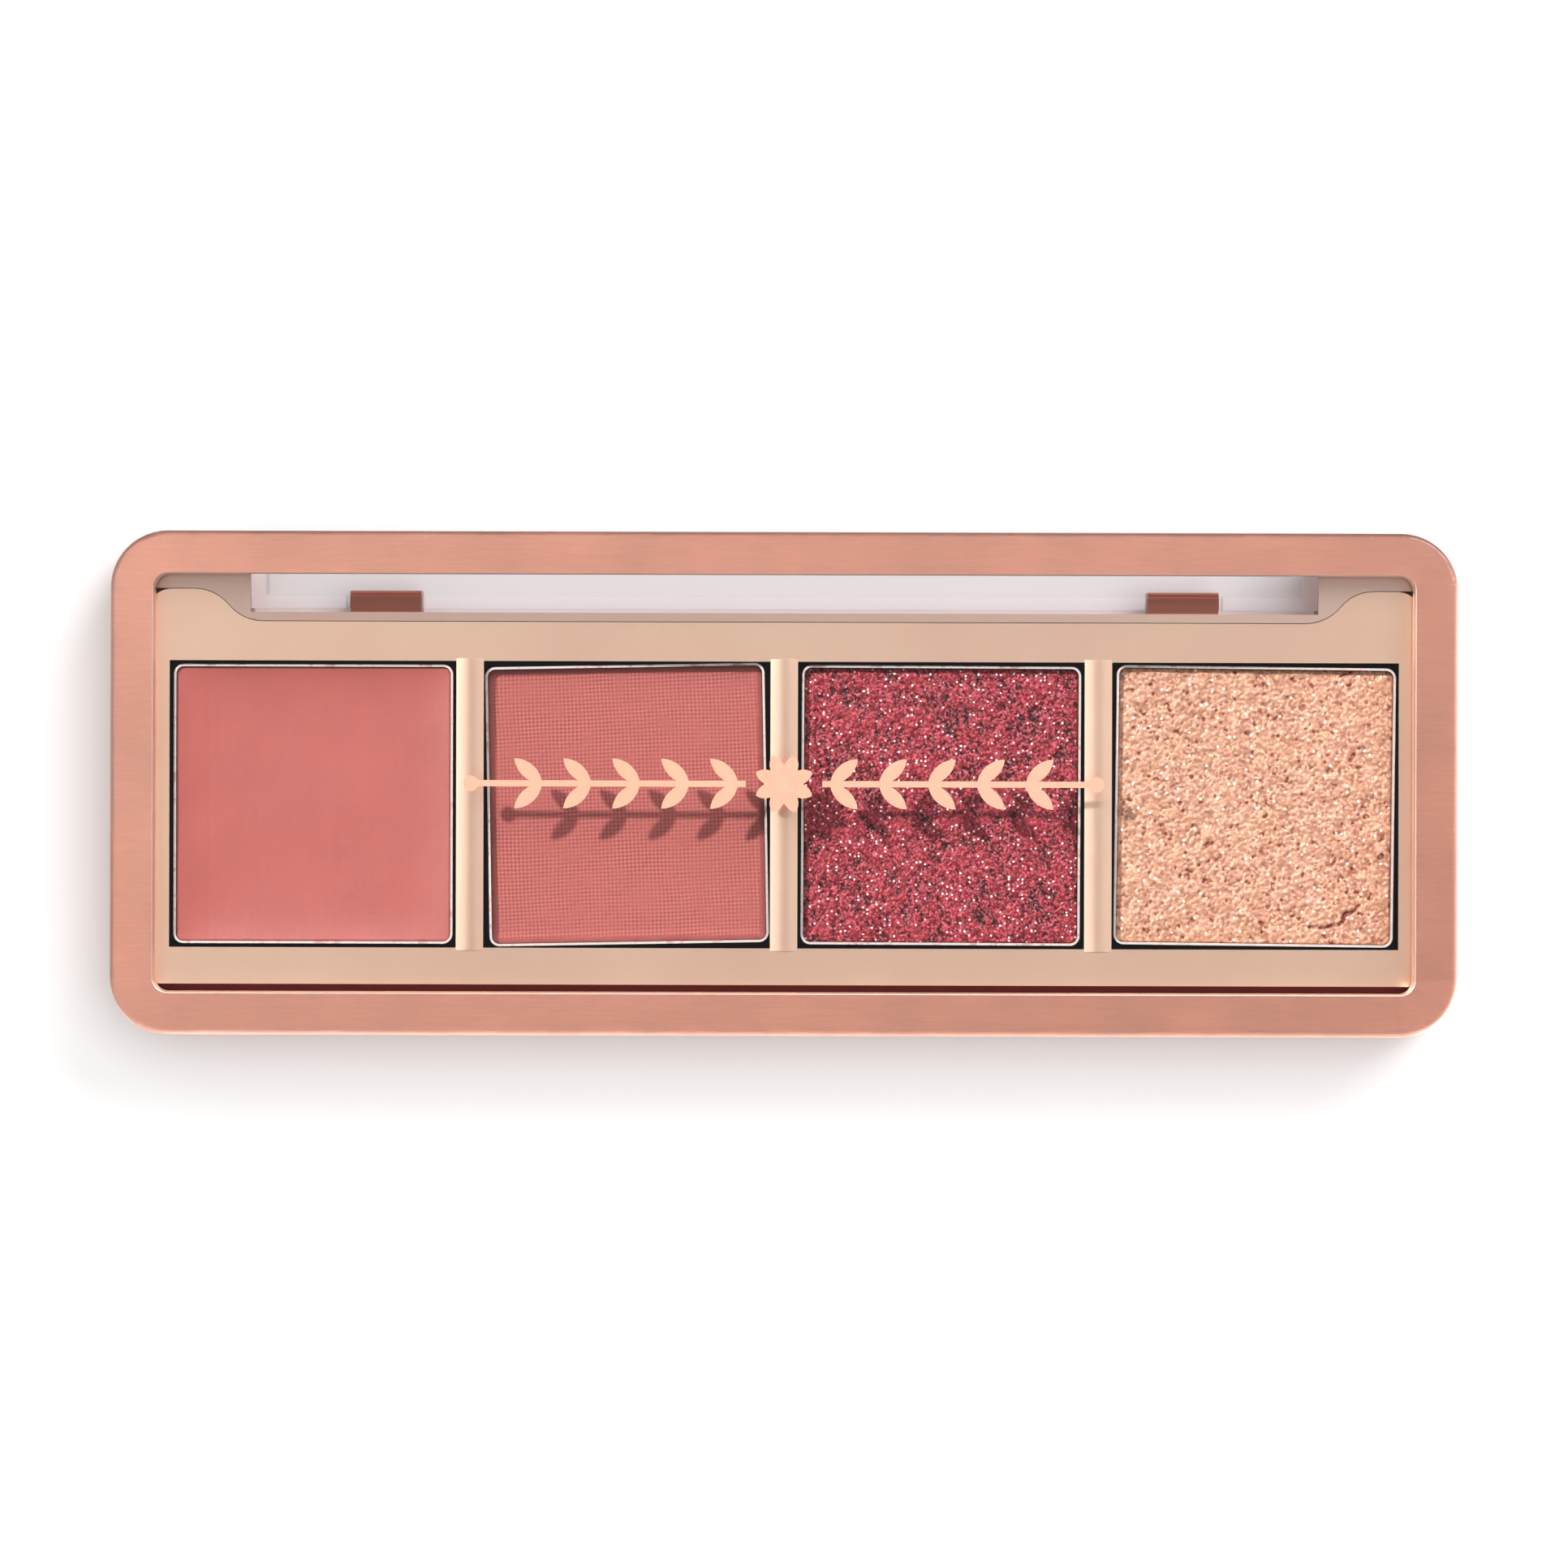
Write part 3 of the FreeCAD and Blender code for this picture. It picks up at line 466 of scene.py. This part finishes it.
def make_cake(shade, relief_of, slot):
    """A cake as a closed mesh: a relief over a round-cornered square, with sides and a flat base."""
    centre, side, turn, low, high = lie_of(f"{shade}_cake")
    half = side / 2 / MM
    axis = np.linspace(-half, half, GRID)
    x, y = np.meshgrid(axis, axis)
    edge = half - np.maximum(np.abs(x), np.abs(y))
    depth, relief = relief_of(x, y, edge)
    depth = depth + EDGE * np.clip(1 - edge / EDGE, 0, 1) ** 2
    over_x, over_y = np.abs(x) - (half - CORNER), np.abs(y) - (half - CORNER)
    in_corner = (over_x > 0) & (over_y > 0)
    reach = np.where(in_corner, np.hypot(over_x, over_y), 1.0)
    pull = np.where(in_corner, np.maximum(over_x, over_y) / reach, 1.0)
    round_x = np.where(in_corner, np.sign(x) * (half - CORNER + over_x * pull), x)
    round_y = np.where(in_corner, np.sign(y) * (half - CORNER + over_y * pull), y)
    top = np.stack([round_x, round_y, high / MM - np.clip(depth, 0.002, 1.0)], -1).reshape(-1, 3)

    index = np.arange(GRID * GRID).reshape(GRID, GRID)
    quads = np.stack([index[:-1, :-1], index[:-1, 1:], index[1:, 1:], index[1:, :-1]], -1).reshape(-1, 4)
    loop = np.concatenate([index[0, :-1], index[:-1, -1], index[-1, :0:-1], index[:0:-1, 0]])
    foot = top[loop] * (1, 1, 0) + (0, 0, low / MM)
    below = np.arange(len(loop)) + len(top)
    walls = np.stack([np.roll(loop, -1), loop, below, np.roll(below, -1)], -1)
    points = np.concatenate([top, foot]) * MM
    spin = np.array([[math.cos(turn), math.sin(turn)], [-math.sin(turn), math.cos(turn)]])
    points[:, :2] = points[:, :2] @ spin + centre

    mesh = bpy.data.meshes.new(f"{shade}_fill")
    mesh.from_pydata(points, [], [*quads.tolist(), *walls.tolist(), below[::-1].tolist()])
    mesh.validate()
    # The relief attribute tells the cakes' shaders where to paint shade and highlight; the sides get a
    # darkish 0.3.
    attribute = mesh.attributes.new("relief", "FLOAT", "POINT")
    values = np.concatenate([relief.reshape(-1), np.full(len(foot), 0.3)])
    attribute.data.foreach_set("value", np.clip(values, 0, 1).astype(np.float32))
    smooth = [True] * len(quads) + [False] * (len(walls) + 1)
    mesh.polygons.foreach_set("use_smooth", smooth)
    mesh.materials.append(materials[slot])
    cake = bpy.data.objects.new(f"{shade}_fill", mesh)
    bpy.context.scene.collection.objects.link(cake)
    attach(cake, "base")
    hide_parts(f"{shade}_cake")


make_cake("cream", cream_relief, "cream")
make_cake("matte", matte_relief, "matte_powder")
make_cake("burgundy", burgundy_relief, "burgundy_glitter")
make_cake("gold", gold_relief, "gold_glitter")


# ---- the floor, lights and camera ------------------------------------------------------------------------

# The sky's brightness, each as from and to this much of a direction's X or Z, then from and to this level.
SKY_LEFT_TO_RIGHT = (-0.35, 0.35, 0.98, 0.82)
SKY_OVERHEAD = (0.985, 0.9955, 1.0, 0.2)
VIEW_WIDTH = 125.6 * MM  # how much the camera sees across, at the lid's top
CAMERA_ROLL = 0.16  # degrees


def make_floor():
    """A plain pale floor."""
    half = 1.5
    mesh = bpy.data.meshes.new("floor")
    corners = [(-half, -half, 0), (half, -half, 0), (half, half, 0), (-half, half, 0)]
    mesh.from_pydata(corners, [], [(0, 1, 2, 3)])
    s = Shader("floor_white")
    paper = s.noise(0.05, 3.0)
    tint = s.blend(paper, (0.84, 0.84, 0.84, 1), (0.86, 0.86, 0.86, 1))
    mesh.materials.append(s.principled(Base_Color=tint, Roughness=0.7))
    floor = bpy.data.objects.new("floor", mesh)
    bpy.context.scene.collection.objects.link(floor)
    return floor


def aim(lamp, direction):
    """Points a lamp along a direction."""
    lamp.rotation_euler = Vector(direction).to_track_quat("-Z", "Y").to_euler()


def group(name, items):
    """A collection of the given objects."""
    collection = bpy.data.collections.new(name)
    for item in items:
        collection.objects.link(item)
    return collection


def make_sun(name, direction, energy, angle, lit, shading, colour=(1.0, 1.0, 1.0)):
    """A lamp far away that lights only some objects, past those that shade it."""
    light = bpy.data.lights.new(name, "SUN")
    light.energy = energy
    light.angle = math.radians(angle)
    light.color = colour
    lamp = bpy.data.objects.new(name, light)
    bpy.context.scene.collection.objects.link(lamp)
    aim(lamp, direction)
    lamp.light_linking.receiver_collection = group(f"lit_by_{name}", lit)
    lamp.light_linking.blocker_collection = group(f"shading_{name}", shading)


def make_soft(name, place, size, energy):
    """A large soft lamp that looks at the palette."""
    light = bpy.data.lights.new(name, "AREA")
    light.shape = "SQUARE"
    light.size = size
    light.energy = energy
    lamp = bpy.data.objects.new(name, light)
    bpy.context.scene.collection.objects.link(lamp)
    lamp.location = place
    aim(lamp, [-c for c in place])


def make_sky():
    """A white room, brighter on the left, with a dark patch overhead that the clear cover mirrors."""
    world = bpy.data.worlds.new("studio")
    bpy.context.scene.world = world
    world.use_nodes = True
    tree = world.node_tree
    tree.nodes.clear()
    way = tree.nodes.new("ShaderNodeSeparateXYZ")
    tree.links.new(tree.nodes.new("ShaderNodeTexCoord").outputs["Generated"], way.inputs[0])

    def level(axis, spans):
        node = tree.nodes.new("ShaderNodeMapRange")
        tree.links.new(way.outputs[axis], node.inputs["Value"])
        for key, value in zip(("From Min", "From Max", "To Min", "To Max"), spans):
            node.inputs[key].default_value = value
        return node.outputs["Result"]

    product = tree.nodes.new("ShaderNodeMath")
    product.operation = "MULTIPLY"
    tree.links.new(level("X", SKY_LEFT_TO_RIGHT), product.inputs[0])
    tree.links.new(level("Z", SKY_OVERHEAD), product.inputs[1])
    sky = tree.nodes.new("ShaderNodeBackground")
    tree.links.new(product.outputs[0], sky.inputs["Strength"])
    out = tree.nodes.new("ShaderNodeOutputWorld")
    tree.links.new(sky.outputs[0], out.inputs["Surface"])


def make_camera():
    """A long lens straight above the palette."""
    camera_data = bpy.data.cameras.new("camera")
    camera_data.lens = 200
    camera_data.sensor_width = 36
    camera_data.clip_start = 0.01
    camera = bpy.data.objects.new("camera", camera_data)
    bpy.context.scene.collection.objects.link(camera)
    camera.location = (0, 0, lid_top + VIEW_WIDTH * camera_data.lens / camera_data.sensor_width)
    camera.rotation_euler = (0, 0, math.radians(CAMERA_ROLL))
    bpy.context.scene.camera = camera


floor = make_floor()
solids = [item for item in bpy.context.scene.collection.objects if item.type == "MESH"]
# The key's light off the case's sides would tint the floor, and off the cover it would wash out the block.
unlit = floor, NODES["lid_cover"], NODES["base_shell"]
lit = [item for item in solids if item not in unlit]
# The frame throws no hard shadow of the key on the pans.
shading = [item for item in solids if item != NODES["lid_frame"]]
make_sun(
    "key",
    direction=(2.7, -2.4, -4.4),
    energy=5.0,
    angle=3.2,
    lit=lit,
    shading=shading,
    colour=(1.0, 0.975, 0.95),
)
make_sun("wash", direction=(-0.2, -0.05, -1.0), energy=1.25, angle=40.0, lit=[floor], shading=solids)
make_soft("back_right", place=(0.35, 0.4, 0.5), size=0.4, energy=3.0)
make_sky()
make_camera()
bpy.context.scene.view_settings.view_transform = "Standard"
